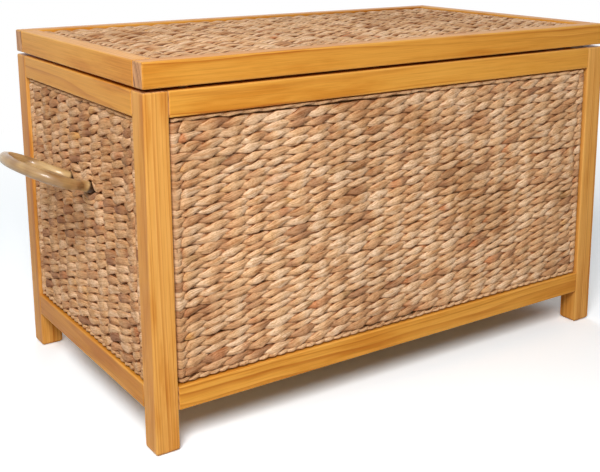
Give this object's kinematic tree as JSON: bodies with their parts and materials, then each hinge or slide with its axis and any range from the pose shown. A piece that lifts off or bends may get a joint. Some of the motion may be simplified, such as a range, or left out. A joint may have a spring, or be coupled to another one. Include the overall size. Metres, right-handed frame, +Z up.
{
  "type": "wicker trunk",
  "caption": "Storage trunk with a lacquered pine frame, woven fibre panels, bent cane end handles and a lid hinged at the back.",
  "frame": {"origin": "on the floor under the middle of the trunk", "axes": "+X along the trunk's length to the viewer's right, +Y from the front to the hinged back, +Z up"},
  "size_m": [0.998, 0.46, 0.5001],
  "materials": {
    "pine": "honey lacquer, semi-gloss",
    "pale_wood": "sawn, unfinished",
    "woven_hyacinth": "dry flat fibre, twined",
    "bent_cane": "clear gloss lacquer",
    "plywood": "sanded, unfinished",
    "beech_pin": "unfinished",
    "plated_steel": "yellow plated",
    "clear_rubber": "translucent, matt"
  },
  "bodies": {
    "body": {"front_left_post": "pine", "front_right_post": "pine", "rear_left_post": "pine", "rear_right_post": "pine", "front_top_rail": "pine", "front_bottom_rail": "pine", "rear_top_rail": "pine", "rear_bottom_rail": "pine", "left_top_rail": "pine", "left_bottom_rail": "pine", "right_top_rail": "pine", "right_bottom_rail": "pine", "front_woven_panel": "woven_hyacinth", "rear_woven_panel": "woven_hyacinth", "left_woven_panel": "woven_hyacinth", "right_woven_panel": "woven_hyacinth", "front_top_bead": "pale_wood", "front_bottom_bead": "pale_wood", "rear_top_bead": "pale_wood", "rear_bottom_bead": "pale_wood", "left_top_bead": "pale_wood", "left_bottom_bead": "pale_wood", "right_top_bead": "pale_wood", "right_bottom_bead": "pale_wood", "left_handle": "bent_cane", "right_handle": "bent_cane", "left_handle_batten": "pale_wood", "right_handle_batten": "pale_wood", "left_handle_front_pin": "beech_pin", "left_handle_rear_pin": "beech_pin", "right_handle_front_pin": "beech_pin", "right_handle_rear_pin": "beech_pin", "floor_board": "plywood", "front_floor_cleat": "pale_wood", "rear_floor_cleat": "pale_wood", "left_hinge_body_leaf": "plated_steel", "right_hinge_body_leaf": "plated_steel", "left_hinge_pin": "plated_steel", "right_hinge_pin": "plated_steel", "left_hinge_body_screw_1": "plated_steel", "left_hinge_body_screw_2": "plated_steel", "right_hinge_body_screw_1": "plated_steel", "right_hinge_body_screw_2": "plated_steel"},
    "lid": {"lid_front_rail": "pine", "lid_rear_rail": "pine", "lid_left_rail": "pine", "lid_right_rail": "pine", "lid_woven_panel": "woven_hyacinth", "lid_backing_board": "plywood", "lid_left_batten": "pale_wood", "lid_right_batten": "pale_wood", "left_hinge_lid_leaf": "plated_steel", "right_hinge_lid_leaf": "plated_steel", "left_hinge_lid_screw_1": "plated_steel", "left_hinge_lid_screw_2": "plated_steel", "right_hinge_lid_screw_1": "plated_steel", "right_hinge_lid_screw_2": "plated_steel", "left_lid_bumper": "clear_rubber", "right_lid_bumper": "clear_rubber"}
  },
  "joints": [
    {"name": "lid_hinge", "type": "hinge", "parent": "body", "child": "lid", "pos_m": [0, 0.2285, 0.46555], "axis": [-1, 0, 0], "range_deg": [0, 100]}
  ]
}
